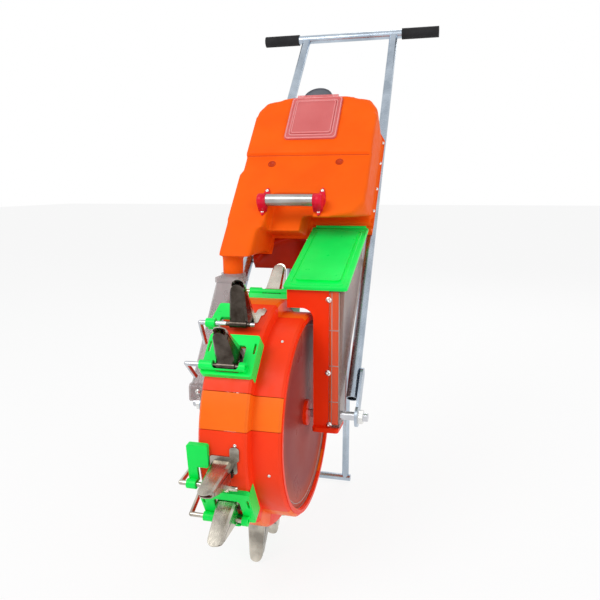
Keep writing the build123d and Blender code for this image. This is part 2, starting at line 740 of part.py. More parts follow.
with BuildPart() as tank:
    add(tank_form(-FLANGE_REACH, 0))
    with BuildSketch(tube_plane(TANK_SEAM_N - FLANGE_T)):
        Rectangle(4 * TANK_HALF_W, 4 * TANK_TOP_S)
    extrude(amount=2 * FLANGE_T, mode=Mode.INTERSECT)
    add(tank_form(0, TANK_ROUND))
    add(tank_form(TANK_WALL, TANK_ROUND - TANK_WALL), mode=Mode.SUBTRACT)
    with BuildSketch(tube_plane(TANK_FACE_N)):
        with Locations((0, FILLER_S)):
            RectangleRounded(2 * FILLER_HALF_W, FILLER_L, 8)
    extrude(amount=TANK_FRONT, mode=Mode.SUBTRACT)
    with BuildSketch(tube_plane(TANK_FACE_N - RECESS_DEPTH)):
        with Locations(*RECESSES):
            Circle(RECESS_R)
    extrude(amount=TANK_FRONT, mode=Mode.SUBTRACT)

with BuildPart() as tank_front:
    add(tank.part)
    split(bisect_by=tube_plane(TANK_SEAM_N + SEAT_GAP / 2), keep=Keep.TOP)
tank_front.part.label = "fertiliser_tank"
export_step(tank_front.part, "parts/fertiliser_tank.step")
with BuildPart() as tank_back:
    add(tank.part)
    split(bisect_by=tube_plane(TANK_SEAM_N - SEAT_GAP / 2), keep=Keep.BOTTOM)
tank_back.part.label = "tank_back"
export_step(tank_back.part, "parts/tank_back.step")

TANK_LID_HIGH_S = FILLER_HIGH_S + TANK_LID_MARGIN
with BuildPart() as tank_lid:
    with BuildSketch(tube_plane(TANK_FRONT + SEAT_GAP)):
        with Locations((0, FILLER_S)):
            RectangleRounded(
                2 * (FILLER_HALF_W + TANK_LID_MARGIN), FILLER_L + 2 * TANK_LID_MARGIN, 8
            )
    extrude(amount=TANK_LID_T)
    with BuildSketch(tube_plane(TANK_FRONT + TANK_LID_T)):
        with Locations((0, FILLER_S)):
            RectangleRounded(2 * FILLER_HALF_W - 10, FILLER_L - 10, 6)
    extrude(amount=3)
    # Hinge barrel along the lid's upper edge
    start = on_tubes(-FILLER_HALF_W + 4, TANK_LID_HIGH_S + 2, TANK_FRONT + SEAT_GAP + TANK_BARREL_R)
    with BuildSketch(Plane(origin=start, x_dir=(0, 1, 0), z_dir=(1, 0, 0))):
        Circle(TANK_BARREL_R)
    extrude(amount=2 * FILLER_HALF_W - 8)
tank_lid.part.label = "tank_lid"
export_step(tank_lid.part, "parts/tank_lid.step")

with BuildPart() as plate:
    with BuildSketch(tube_plane(TANK_FRONT - REAR_PLATE_BACK)):
        with Locations((REAR_PLATE_X, TANK_TOP_S)):
            Circle(REAR_PLATE_R)
        with Locations((REAR_PLATE_X, TANK_TOP_S - REAR_PLATE_R)):
            Rectangle(3 * REAR_PLATE_R, 2 * REAR_PLATE_R, mode=Mode.SUBTRACT)
    extrude(amount=REAR_PLATE_T)
plate.part.label = "rear_plate"
export_step(plate.part, "parts/rear_plate.step")

# Lifting grip on the tank's front
GRIP_N = TANK_FACE_N + GRIP_STAND_OFF + GRIP_TUBE_R
with BuildPart() as grip_tube:
    start = on_tubes(GRIP_TUBE_X - GRIP_TUBE_L / 2, GRIP_TUBE_S, GRIP_N)
    with BuildSketch(Plane(origin=start, x_dir=(0, 1, 0), z_dir=(1, 0, 0))):
        Circle(GRIP_TUBE_R)
        Circle(GRIP_TUBE_R - TUBE_WALL, mode=Mode.SUBTRACT)
    extrude(amount=GRIP_TUBE_L)
grip_tube.part.label = "lift_grip"
export_step(grip_tube.part, "parts/lift_grip.step")

with BuildPart() as grip_brackets:
    for side in (-1, 1):
        x = GRIP_TUBE_X + side * (GRIP_TUBE_L + GRIP_BRACKET_W) / 2
        with BuildSketch(tube_plane(TANK_FACE_N + SEAT_GAP)):
            with Locations((x, GRIP_TUBE_S)):
                RectangleRounded(GRIP_BRACKET_W, GRIP_BRACKET_L, 4)
        extrude(amount=GRIP_STAND_OFF + 2 * GRIP_TUBE_R + 2)
grip_brackets.part.label = "lift_grip_brackets"
export_step(grip_brackets.part, "parts/lift_grip_brackets.step")

# Clear collar under the neck and the clear chute to the drum's left side
COLLAR_T = 3
COLLAR_DEPTH = 10
COLLAR_W = 2 * NECK_R + 16
COLLAR_D = 2 * NECK_R + 6
COLLAR_RING = 8
CHUTE_W = 40
CHUTE_D = 34
CHUTE_X = -131
CHUTE_T = 2
with BuildPart() as collar:
    with BuildSketch(neck_plane(NECK_L - COLLAR_RING)):
        Circle(NECK_R + SEAT_GAP + COLLAR_T)
        Circle(NECK_R + SEAT_GAP, mode=Mode.SUBTRACT)
    extrude(amount=COLLAR_RING)
    with BuildSketch(neck_plane(NECK_L)):
        with Locations((-4, 0)):
            RectangleRounded(COLLAR_W, COLLAR_D, 8)
            RectangleRounded(COLLAR_W - 2 * COLLAR_T, COLLAR_D - 2 * COLLAR_T, 6, mode=Mode.SUBTRACT)
    extrude(amount=COLLAR_DEPTH)
collar.part.label = "chute_collar"
export_step(collar.part, "parts/chute_collar.step")

CHUTE_FOOT_Y = -50
CHUTE_FOOT_Z = 42
SPOUT_GAP = 6
CHUTE_TOP = neck_plane(NECK_L + COLLAR_DEPTH + SEAT_GAP).origin
with BuildPart() as chute:
    top = Vector(CHUTE_X, CHUTE_TOP.Y - 4, CHUTE_TOP.Z)
    foot = Vector(CHUTE_X, AXLE_Y + CHUTE_FOOT_Y, AXLE_Z + CHUTE_FOOT_Z)
    run = foot - top
    head = top - run.normalized() * CHUTE_D
    spout = Plane(origin=foot - Vector(CHUTE_W / 2, 0, 0), x_dir=(0, 1, 0), z_dir=(1, 0, 0))
    spout_l = DRUM_OFFSET + DRUM_LEFT - SPOUT_GAP - (CHUTE_X - CHUTE_W / 2)
    for wall, mode in ((0, Mode.ADD), (CHUTE_T, Mode.SUBTRACT)):
        with BuildSketch(Plane(origin=head, x_dir=(1, 0, 0), z_dir=run)):
            RectangleRounded(CHUTE_W - 2 * wall, CHUTE_D - 2 * wall, 7)
        extrude(amount=run.length + CHUTE_D, mode=mode)
        with BuildSketch(spout.offset(wall)):
            RectangleRounded(CHUTE_D - 2 * wall, CHUTE_D - 2 * wall, 7)
        extrude(amount=spout_l, mode=mode)
    split(bisect_by=Plane(origin=top, x_dir=(1, 0, 0), z_dir=(0, 0, -1)), keep=Keep.TOP)
chute.part.label = "fertiliser_chute"
export_step(chute.part, "parts/fertiliser_chute.step")

# Seed box
BOX_REAR_Y = BOX_FRONT_Y + LID_RUN


def box_form(inset):
    """Seed box as a solid: its side view cut to its front view."""
    with BuildPart() as form:
        with BuildSketch(Plane.YZ.offset(BOX_LEFT - 20)):
            with BuildLine():
                Polyline(
                    (BOX_FRONT_Y + inset, LID_FRONT_Z + 3 * inset),
                    (BOX_FRONT_Y + inset, BOX_FOOT_Z + inset),
                    (LEG_REAR_Y - inset, BOX_FOOT_Z + inset),
                    (LEG_REAR_Y - inset, LEG_REAR_Z),
                    (BOX_REAR_LOW_Y - inset, BOX_REAR_LOW_Z),
                    (BOX_REAR_Y - inset, LID_FRONT_Z + LID_RISE + 3 * inset),
                    close=True,
                )
            make_face()
        extrude(amount=BOX_RIGHT - BOX_LEFT + 40)
        with BuildSketch(Plane.XZ.offset(40)) as front_view:
            with BuildLine():
                belly = (BOX_LEG_LEFT - BOX_BELLY_ROUND + inset, BOX_BELLY_Z + inset)
                knee = (BOX_LEG_LEFT + inset, BOX_BELLY_Z - BOX_BELLY_ROUND + inset)
                Polyline(
                    knee,
                    (BOX_LEG_LEFT + inset, BOX_FOOT_Z),
                    (BOX_LEG_RIGHT - inset, BOX_FOOT_Z),
                    (BOX_RIGHT - inset, LID_FRONT_Z),
                    (BOX_RIGHT - inset, LID_FRONT_Z + LID_RISE + 20),
                    (BOX_LEFT + inset, LID_FRONT_Z + LID_RISE + 20),
                    (BOX_LEFT + inset, BOX_BELLY_Z + inset),
                    belly,
                )
                RadiusArc(belly, knee, BOX_BELLY_ROUND)
            make_face()
        extrude(amount=-400, mode=Mode.INTERSECT)
    return form.part


outer_box = box_form(0)
inner_box = box_form(BOX_WALL)
with BuildPart() as box_shell:
    add(outer_box)
    add(inner_box, mode=Mode.SUBTRACT)
    with BuildSketch(Plane.YZ.offset(BOX_LEG_LEFT - 10)):
        Circle(AXLE_R + SEAT_GAP)
    extrude(amount=80, mode=Mode.SUBTRACT)
BOX_PARTS = [("seed_box", Keep.BOTTOM), ("seed_box_window", Keep.TOP)]
for name, half in BOX_PARTS:
    with BuildPart() as box_part:
        with Locations(AXLE_SPOT):
            add(box_shell.part)
        split(bisect_by=Plane.YZ.offset(BOX_SPLIT_X), keep=half)
    box_part.part.label = name
    export_step(box_part.part, f"parts/{name}.step")

LID_ORIGIN = Vector(0, AXLE_Y + BOX_FRONT_Y, AXLE_Z + LID_FRONT_Z)
LID_DIR = Vector(0, cos(radians(LID_SLOPE_DEG)), sin(radians(LID_SLOPE_DEG)))
LID_NORMAL = Vector(0, -sin(radians(LID_SLOPE_DEG)), cos(radians(LID_SLOPE_DEG)))
LID_L = LID_RUN / cos(radians(LID_SLOPE_DEG))


def lid_plane(height):
    """Plane of the seed box's rim, raised by height."""
    return Plane(origin=LID_ORIGIN + LID_NORMAL * height, x_dir=(1, 0, 0), z_dir=LID_NORMAL)


LID_X = (BOX_LEFT + BOX_RIGHT) / 2
LID_W = BOX_RIGHT - BOX_LEFT + 2 * LID_OVERHANG
with BuildPart() as seed_lid:
    with BuildSketch(lid_plane(SEAT_GAP)):
        with Locations((LID_X, LID_L / 2)):
            RectangleRounded(LID_W, LID_L + 2 * LID_OVERHANG, 6)
    extrude(amount=LID_T)
    with BuildSketch(lid_plane(LID_T)):
        with Locations((LID_X, LID_L / 2)):
            RectangleRounded(LID_W - 34, LID_L - 34, 8)
    extrude(amount=4)
    # Hinge barrel along the lid's rear edge
    axis_plane = lid_plane(SEAT_GAP + LID_BARREL_R)
    start = axis_plane.from_local_coords((BOX_LEFT, LID_L + LID_OVERHANG + 2, 0))
    with BuildSketch(Plane(origin=start, x_dir=(0, 1, 0), z_dir=(1, 0, 0))):
        Circle(LID_BARREL_R)
    extrude(amount=BOX_RIGHT - BOX_LEFT)
seed_lid.part.label = "seed_box_lid"
export_step(seed_lid.part, "parts/seed_box_lid.step")

FOOT_T = 8
with BuildPart() as seed_foot_form:
    with BuildSketch(Plane.XY.offset(BOX_FOOT_Z - FOOT_T)):
        with Locations(((BOX_LEG_LEFT + BOX_LEG_RIGHT) / 2 - 1, (BOX_FRONT_Y + LEG_REAR_Y) / 2 - 2)):
            RectangleRounded(BOX_LEG_RIGHT - BOX_LEG_LEFT, LEG_REAR_Y - BOX_FRONT_Y + 12, 6)
    extrude(amount=FOOT_T)
with BuildPart() as seed_foot:
    with Locations(AXLE_SPOT):
        add(seed_foot_form.part)
seed_foot.part.label = "seed_box_foot"
export_step(seed_foot.part, "parts/seed_box_foot.step")

# Parking stand: a U of tube on a pivot tube behind the drum
STAND_PIVOT = on_tubes(0, STAND_PIVOT_S, STAND_PIVOT_N)
STAND_FOOT = Vector(0, AXLE_Y + STAND_FOOT_Y, STAND_R)
EAR_X = STAND_HALF_W + STAND_OVERHANG + EAR_T
with BuildPart() as stand:
    drop = STAND_FOOT - STAND_PIVOT
    for side in (-1, 1):
        shift = Vector(side * STAND_HALF_W, 0, 0)
        with BuildSketch(Plane(origin=STAND_PIVOT + shift, x_dir=(1, 0, 0), z_dir=drop)):
            Circle(STAND_R)
        extrude(amount=drop.length)
    for centre in (STAND_PIVOT, STAND_FOOT):
        start = centre - Vector(STAND_HALF_W + STAND_OVERHANG, 0, 0)
        with BuildSketch(Plane(origin=start, x_dir=(0, 1, 0), z_dir=(1, 0, 0))):
            Circle(STAND_R)
        extrude(amount=2 * (STAND_HALF_W + STAND_OVERHANG))
    start = STAND_PIVOT - Vector(EAR_X + EAR_T, 0, 0)
    with BuildSketch(Plane(origin=start, x_dir=(0, 1, 0), z_dir=(1, 0, 0))):
        Circle(PIN_R)
    extrude(amount=2 * (EAR_X + EAR_T))
stand.part.label = "parking_stand"
export_step(stand.part, "parts/parking_stand.step")

EAR_L = STAND_OVERHANG - STAND_PIVOT_N - CROSS_R
with BuildPart() as stand_ears:
    for side in (-1, 1):
        corner = on_tubes(side * EAR_X - EAR_T / 2, STAND_PIVOT_S, 0)
        with BuildSketch(Plane(origin=corner, x_dir=TUBE_DIR, z_dir=(1, 0, 0))):
            with Locations((0, STAND_PIVOT_N + EAR_L / 2 - STAND_OVERHANG)):
                Rectangle(EAR_W, EAR_L)
            with Locations((0, STAND_PIVOT_N)):
                Circle(PIN_R + FIT_GAP, mode=Mode.SUBTRACT)
        extrude(amount=EAR_T)
stand_ears.part.label = "stand_ears"
export_step(stand_ears.part, "parts/stand_ears.step")
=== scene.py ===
"""Looks for the hand seed planter: materials, small parts, floor, light and camera."""
import math

import bmesh
import bpy
from mathutils import Matrix, Vector


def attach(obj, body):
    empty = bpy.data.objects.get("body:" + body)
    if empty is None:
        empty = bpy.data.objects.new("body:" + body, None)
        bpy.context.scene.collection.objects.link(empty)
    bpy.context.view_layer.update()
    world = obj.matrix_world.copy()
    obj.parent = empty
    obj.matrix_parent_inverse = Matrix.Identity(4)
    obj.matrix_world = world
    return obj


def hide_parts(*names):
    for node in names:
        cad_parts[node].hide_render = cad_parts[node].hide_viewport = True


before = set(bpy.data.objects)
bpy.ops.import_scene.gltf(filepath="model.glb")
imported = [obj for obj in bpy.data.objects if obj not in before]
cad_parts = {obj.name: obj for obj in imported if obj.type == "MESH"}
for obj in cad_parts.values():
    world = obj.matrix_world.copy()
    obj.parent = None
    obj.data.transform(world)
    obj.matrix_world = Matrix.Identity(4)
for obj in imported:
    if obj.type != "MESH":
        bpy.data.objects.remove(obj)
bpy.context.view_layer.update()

# Places shared with the model, in metres
AXLE_Y = -0.21281
AXLE_Z = 0.28802
DRUM_X = -0.006
LEAN = math.radians(49.2)
TUBE_DIR = Vector((0, math.cos(LEAN), math.sin(LEAN)))
TUBE_NORMAL = Vector((0, -math.sin(LEAN), math.cos(LEAN)))
ACROSS = Vector((1, 0, 0))
FRONT = Vector((0, -1, 0))
UP = Vector((0, 0, 1))


def on_tubes(x, s, n):
    """A point given in millimetres across, up along and in front of the side tubes."""
    return Vector((x / 1000, AXLE_Y, AXLE_Z)) + TUBE_DIR * s / 1000 + TUBE_NORMAL * n / 1000


TUBE_ORIGIN = on_tubes(0, 0, 0)


def from_tubes(point):
    """The millimetres across, up along and in front of the side tubes for a point."""
    spot = point - TUBE_ORIGIN
    return spot.x * 1000, spot.dot(TUBE_DIR) * 1000, spot.dot(TUBE_NORMAL) * 1000


def on_drum(x, radius, angle):
    """A point on the drum and its outward direction: millimetres, and degrees from the front."""
    turn = math.radians(angle)
    out = Vector((0, -math.cos(turn), math.sin(turn)))
    return Vector((DRUM_X + x / 1000, AXLE_Y, AXLE_Z)) + out * radius / 1000, out


BOX_FRONT_Y = -10


def on_box(x, z, y=BOX_FRONT_Y):
    """A point in millimetres from the axle's middle, on the seed box's front by default."""
    return Vector((x / 1000, AXLE_Y + y / 1000, AXLE_Z + z / 1000))


# The seed box's lid slopes up from the top of the box's front, 236 mm above the axle
LID_SLOPE = math.radians(21.3)
LID_ALONG = Vector((0, math.cos(LID_SLOPE), math.sin(LID_SLOPE)))
LID_UP = Vector((0, -math.sin(LID_SLOPE), math.cos(LID_SLOPE)))
LID_FOOT = (-0.01, 0.236)


def on_lid(x, along, up):
    """A point on the seed box's lid in millimetres: across, up its slope and off its plane."""
    foot = Vector((x / 1000, AXLE_Y + LID_FOOT[0], AXLE_Z + LID_FOOT[1]))
    return foot + (LID_ALONG * along + LID_UP * up) / 1000


# Node helpers

def calc(tree, operation, *values, clamp=False):
    """The result of a math node over sockets and plain numbers."""
    node = tree.nodes.new("ShaderNodeMath")
    node.operation = operation
    node.use_clamp = clamp
    for slot, value in zip(node.inputs, values):
        if isinstance(value, bpy.types.NodeSocket):
            tree.links.new(value, slot)
        else:
            slot.default_value = value
    return node.outputs["Value"]


def calc_vector(tree, operation, first, second=None):
    """The result of a vector math node over a socket and a plain vector."""
    node = tree.nodes.new("ShaderNodeVectorMath")
    node.operation = operation
    tree.links.new(first, node.inputs[0])
    if second is not None:
        node.inputs[1].default_value = second
    return node.outputs["Value" if operation == "LENGTH" else "Vector"]


def mixed_shader(tree, share, first, second, target):
    """Sends a mix of two shaders to the target, the second one by the given share."""
    mix = tree.nodes.new("ShaderNodeMixShader")
    tree.links.new(share, mix.inputs["Fac"])
    tree.links.new(first, mix.inputs[1])
    tree.links.new(second, mix.inputs[2])
    tree.links.new(mix.outputs["Shader"], target)


def direct_view(tree):
    """The light path node, and 1 for rays from the camera or through clear plastic."""
    path = tree.nodes.new("ShaderNodeLightPath")
    camera_ray = path.outputs["Is Camera Ray"]
    return path, calc(tree, "ADD", camera_ray, path.outputs["Is Transmission Ray"], clamp=True)


TINT_FROM, TINT_TO = 0.35, 0.65
GLOSS_FROM, GLOSS_TO = 0.3, 0.7


class Look:
    """A material with its shader, object coordinates and the layers that make it uneven."""

    def __init__(self, name):
        self.mat = bpy.data.materials.new(name)
        self.mat.use_nodes = True
        self.tree = self.mat.node_tree
        self.shader = self.tree.nodes["Principled BSDF"]
        self.coords = self.tree.nodes.new("ShaderNodeTexCoord").outputs["Object"]

    def feed(self, socket, source):
        """Links a source to a named socket of the shader."""
        self.tree.links.new(source, self.shader.inputs[socket])

    def noise(self, scale, detail, stretch=(1, 1, 1)):
        """Noise with so many features in a metre, stretched along the axes."""
        place = self.tree.nodes.new("ShaderNodeMapping")
        place.inputs["Scale"].default_value = stretch
        self.tree.links.new(self.coords, place.inputs["Vector"])
        texture = self.tree.nodes.new("ShaderNodeTexNoise")
        texture.inputs["Scale"].default_value = scale
        texture.inputs["Detail"].default_value = detail
        self.tree.links.new(place.outputs["Vector"], texture.inputs["Vector"])
        return texture.outputs["Fac"]

    def tint(self, source, low, high):
        """Colours from low to high as the source goes from TINT_FROM to TINT_TO."""
        colours = self.tree.nodes.new("ShaderNodeValToRGB")
        stops = colours.color_ramp.elements
        for stop, position, colour in zip(stops, (TINT_FROM, TINT_TO), (low, high)):
            stop.position = position
            stop.color = (*colour, 1)
        self.tree.links.new(source, colours.inputs["Fac"])
        return colours.outputs["Color"]

    def gloss(self, source, rough, swing):
        """Roughness that swings below and above its middle with the source."""
        span = self.tree.nodes.new("ShaderNodeMapRange")
        below, above = swing
        span.inputs["From Min"].default_value = GLOSS_FROM
        span.inputs["From Max"].default_value = GLOSS_TO
        span.inputs["To Min"].default_value = rough - below
        span.inputs["To Max"].default_value = rough + above
        self.tree.links.new(source, span.inputs["Value"])
        self.feed("Roughness", span.outputs["Result"])

    def relief(self, source, strength, distance):
        """Surface relief from the source, with its depth in metres."""
        bump = self.tree.nodes.new("ShaderNodeBump")
        bump.inputs["Strength"].default_value = strength
        bump.inputs["Distance"].default_value = distance
        self.tree.links.new(source, bump.inputs["Height"])
        self.feed("Normal", bump.outputs["Normal"])


# Materials

# Noises: (features in a metre, detail)
DRIFT, SMEARS, GRAIN, WAVES = (9, 4), (60, 6), (900, 2), (26, 2)
CLOUDS, SMALL_CLOUDS, STREAKS = (22, 5), (40, 5), (14, 4)
LINE_SCALE, LINE_DETAIL = 260, 3
UPRIGHT = (1, 1, 0.25)
# How far roughness swings below and above its middle
PLASTIC_SWING, METAL_SWING, JAW_SWING = (0.06, 0.08), (0.07, 0.1), (0.07, 0.07)
CLEAR_SWING, DISC_SWING = (0.04, 0.06), (0.05, 0.08)
# Depths of relief in metres
PLASTIC_DEPTH, METAL_DEPTH, STREAK_DEPTH = 0.0004, 0.0002, 0.0006
WAVE_SHARE = 2.5
STREAK_STRENGTH = 0.1
JAW_ROUGH, JAW_GRAIN, JAW_STRETCH = 0.23, 0.15, (4, 1, 1)
DISC_IOR = 1.12
DISC_REACH = 5  # a radius in metres times this lies between 0 and 1


def plastic(name, colour, shade, rough, grain=0.12, shine=0.22):
    """Moulded plastic: slow colour drift, fine grain, slight waves and uneven gloss."""
    look = Look(name)
    look.feed("Base Color", look.tint(look.noise(*DRIFT), shade, colour))
    look.gloss(look.noise(*SMEARS), rough, PLASTIC_SWING)
    fine = look.noise(*GRAIN)
    waves = look.noise(*WAVES)
    look.relief(calc(look.tree, "MULTIPLY_ADD", waves, WAVE_SHARE, fine), grain, PLASTIC_DEPTH)
    look.shader.inputs["Specular IOR Level"].default_value = shine
    return look.mat


def metal(name, colour, shade, rough, stretch=(1, 1, 1), scale=LINE_SCALE, grain=0.15):
    """Worked metal: fine drawn lines and cloudy colour."""
    look = Look(name)
    look.shader.inputs["Metallic"].default_value = 1
    look.feed("Base Color", look.tint(look.noise(*CLOUDS), shade, colour))
    lines = look.noise(scale, LINE_DETAIL, stretch)
    look.gloss(lines, rough, METAL_SWING)
    look.relief(lines, grain, METAL_DEPTH)
    return look.mat


def clear(name, colour, shade, alpha, rough):
    """Thin see-through plastic with faint upright streaks from moulding."""
    look = Look(name)
    streaks = look.noise(*STREAKS, UPRIGHT)
    look.feed("Base Color", look.tint(streaks, shade, colour))
    look.gloss(streaks, rough, CLEAR_SWING)
    look.relief(streaks, STREAK_STRENGTH, STREAK_DEPTH)
    look.shader.inputs["Alpha"].default_value = alpha
    return look.mat


def two_metals(name, outer, inner, left, right):
    """The inner metal where x lies between left and right, in metres, and the outer one beyond."""
    look = Look(name)
    tree = look.tree
    look.shader.inputs["Metallic"].default_value = 1
    place = tree.nodes.new("ShaderNodeSeparateXYZ")
    tree.links.new(look.coords, place.inputs["Vector"])
    middle, half = (left + right) / 2, (right - left) / 2
    within = calc(tree, "COMPARE", place.outputs["X"], middle, half)
    cloud = look.noise(*SMALL_CLOUDS)
    mix = tree.nodes.new("ShaderNodeMix")
    mix.data_type = "RGBA"
    tree.links.new(within, mix.inputs["Factor"])
    for socket, (shade, colour) in (("A", outer), ("B", inner)):
        tree.links.new(look.tint(cloud, shade, colour), mix.inputs[socket])
    look.feed("Base Color", mix.outputs["Result"])
    lines = look.noise(LINE_SCALE, LINE_DETAIL, JAW_STRETCH)
    look.gloss(lines, JAW_ROUGH, JAW_SWING)
    look.relief(lines, JAW_GRAIN, METAL_DEPTH)
    return look.mat


def disc_plastic(name, bands, alpha, rough):
    """See-through disc whose colour changes with the distance from the axle, in metres."""
    look = Look(name)
    tree = look.tree
    from_axle = calc_vector(tree, "SUBTRACT", look.coords, (0, AXLE_Y, AXLE_Z))
    flat = calc_vector(tree, "MULTIPLY", from_axle, (0, DISC_REACH, DISC_REACH))
    colours = tree.nodes.new("ShaderNodeValToRGB")
    stops = colours.color_ramp.elements
    for i, (radius, colour) in enumerate(bands):
        stop = stops[i] if i < 2 else stops.new(radius * DISC_REACH)
        stop.position = radius * DISC_REACH
        stop.color = (*colour, 1)
    tree.links.new(calc_vector(tree, "LENGTH", flat), colours.inputs["Fac"])
    look.feed("Base Color", colours.outputs["Color"])
    streaks = look.noise(*STREAKS)
    look.gloss(streaks, rough, DISC_SWING)
    look.relief(streaks, STREAK_STRENGTH, STREAK_DEPTH)
    look.shader.inputs["Alpha"].default_value = alpha
    look.shader.inputs["IOR"].default_value = DISC_IOR
    return look.mat


# Metals: name, colour, shade, roughness, stretch, scale, grain
galvanised = metal("galvanised_tube", (0.5, 0.57, 0.65), (0.36, 0.42, 0.49), 0.26, (6, 1, 1))
drawn_tube = metal("drawn_tube", (0.47, 0.46, 0.44), (0.36, 0.355, 0.34), 0.3, (0.08, 1, 1),
                   220, 0.05)
polished = metal("polished_rod", (0.66, 0.67, 0.7), (0.46, 0.47, 0.5), 0.18, (1, 4, 4))
bright_steel = metal("bright_jaw", (0.7, 0.65, 0.56), (0.27, 0.245, 0.21), 0.2, JAW_STRETCH,
                     120, 0.2)
screw_steel = metal("screw_steel", (0.82, 0.82, 0.8), (0.66, 0.66, 0.64), 0.25)

# Painted dark reflection on two jaws, which share one mesh with their rods, so colour changes across
# x
ROD_TINTS = ((0.42, 0.43, 0.46), (0.66, 0.67, 0.7))
PAINTED_REFLECTION_TINTS = ((0.035, 0.026, 0.02), (0.12, 0.1, 0.085))
REFLECTION_FROM_X, REFLECTION_TO_X = -0.0525, -0.009
painted_reflection_steel = two_metals("painted_reflection_jaw", ROD_TINTS, PAINTED_REFLECTION_TINTS, REFLECTION_FROM_X, REFLECTION_TO_X)

# Plastics: name, colour, shade, roughness, grain, shine
tank_orange = plastic("tank_orange", (1.0, 0.135, 0.003), (0.96, 0.112, 0.002), 0.56, 0.14, 0.12)
# A darker copy of the tank's orange: painted shade for the pan under the tank's arch
pan_painted_shade = plastic("pan_painted_shade", (0.6, 0.03, 0.003), (0.42, 0.018, 0.002), 0.45, 0.14)
# Painted shade: a darker orange for the crease line and the insides of the recess cups
painted_shade_orange = plastic("painted_shade_orange", (0.62, 0.05, 0.002), (0.5, 0.035, 0.002), 0.45, 0.14)
salmon = plastic("salmon_segment", (1.0, 0.055, 0.01), (0.94, 0.042, 0.005), 0.36, 0.06, 0.16)
amber = plastic("amber_segment", (1.0, 0.175, 0.01), (0.96, 0.14, 0.005), 0.36, 0.06, 0.16)
box_orange = plastic("box_orange", (0.95, 0.036, 0.0005), (0.86, 0.027, 0.0003), 0.36, 0.06, 0.14)
green = plastic("bright_green", (0.003, 1.0, 0.13), (0.002, 0.86, 0.1), 0.33, 0.1)
crimson = plastic("crimson_plastic", (0.86, 0.006, 0.045), (0.72, 0.004, 0.03), 0.3, 0.08)
black = plastic("black_foam", (0.02, 0.02, 0.022), (0.008, 0.008, 0.009), 0.7, 0.5)
smoke = plastic("smoke_plastic", (0.16, 0.17, 0.2), (0.1, 0.11, 0.13), 0.35, 0.08)

# See-through plastics: name, colour, shade, alpha, roughness
pink = clear("pink_clear", (0.96, 0.24, 0.24), (0.86, 0.17, 0.17), 0.62, 0.2)
# Paler pink for the tank lid's beads: a painted highlight
highlight_pink = clear("painted_highlight_pink_edge", (1.0, 0.42, 0.42), (0.96, 0.33, 0.33), 0.8, 0.16)
window = clear("smoky_clear", (0.43, 0.25, 0.2), (0.3, 0.175, 0.14), 0.55, 0.16)
# Paler clear for thin beads; on the window's steps and uprights it is a painted highlight
edge_clear = clear("clear_edge", (0.62, 0.5, 0.45), (0.5, 0.38, 0.34), 0.75, 0.14)
strip_clear = clear("clear_front_strip", (1.0, 0.13, 0.02), (0.86, 0.075, 0.006), 0.86, 0.2)
chute_clear = clear("chute_clear", (0.5, 0.44, 0.44), (0.34, 0.29, 0.29), 0.5, 0.16)

# The disc's colours from the axle outwards: (radius in metres, colour)
DISC_BANDS = [
    (0.0, (0.5, 0.04, 0.015)),
    (0.04, (0.36, 0.04, 0.03)),
    (0.06, (0.4, 0.065, 0.05)),
    (0.13, (0.34, 0.055, 0.05)),
    (0.15, (0.46, 0.085, 0.055)),
    (0.17, (0.65, 0.12, 0.07)),
    (0.195, (0.8, 0.16, 0.09)),
]
disc_clear = disc_plastic("smoky_disc", DISC_BANDS, 0.8, 0.3)

# Every node that isn't a moving jaw; the jaws are bright but for two with a painted dark reflection
PAINTED_REFLECTION_JAWS = ["seed_jaw_1", "fert_jaw_1"]
NODE_LOOK = {
    "side_tubes": galvanised, "cross_tubes": galvanised, "handlebar": galvanised, "grips": black,
    "axle": polished, "axle_plates": galvanised, "axle_nuts": screw_steel,
    "fertiliser_tank": tank_orange, "tank_back": tank_orange, "rear_plate": smoke,
    "lift_grip": drawn_tube, "lift_grip_brackets": crimson,
    "chute_collar": chute_clear, "fertiliser_chute": chute_clear,
    "seed_box": box_orange, "seed_box_window": window, "seed_box_foot": box_orange,
    "stand_ears": galvanised, "parking_stand": galvanised,
    "tank_lid": pink, "seed_box_lid": green,
    "drum_long_segments": salmon, "drum_short_segments": amber, "drum_left_disc": box_orange,
    "drum_right_disc": disc_clear, "drum_rim_ring": box_orange, "drum_core": box_orange,
    "seed_brackets": green, "seed_fixed_jaws": bright_steel,
    "fert_bearing_blocks": green, "fert_fixed_jaws": bright_steel,
}
for name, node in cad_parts.items():
    look = NODE_LOOK.get(name, painted_reflection_steel if name in PAINTED_REFLECTION_JAWS else bright_steel)
    node.data.materials.clear()
    node.data.materials.append(look)


# Shape helpers

def bridge(bm, low, high, closed=True):
    """Faces between two rows of vertices, which are rings unless closed is False."""
    for i in range(len(low) if closed else len(low) - 1):
        j = (i + 1) % len(low)
        bm.faces.new((low[i], low[j], high[j], high[i]))


def lathe(bm, profile, at, out, steps=20):
    """Turns a profile of (radius, height) in millimetres about a point and its direction."""
    turn = UP.rotation_difference(out).to_matrix()
    rings = []
    for radius, height in profile:
        ring = []
        for i in range(steps):
            angle = 2 * math.pi * i / steps
            local = Vector((radius * math.cos(angle), radius * math.sin(angle), height)) / 1000
            ring.append(bm.verts.new(at + turn @ local))
        rings.append(ring)
    for low, high in zip(rings, rings[1:]):
        bridge(bm, low, high)
    bm.faces.new(reversed(rings[0]))
    bm.faces.new(rings[-1])


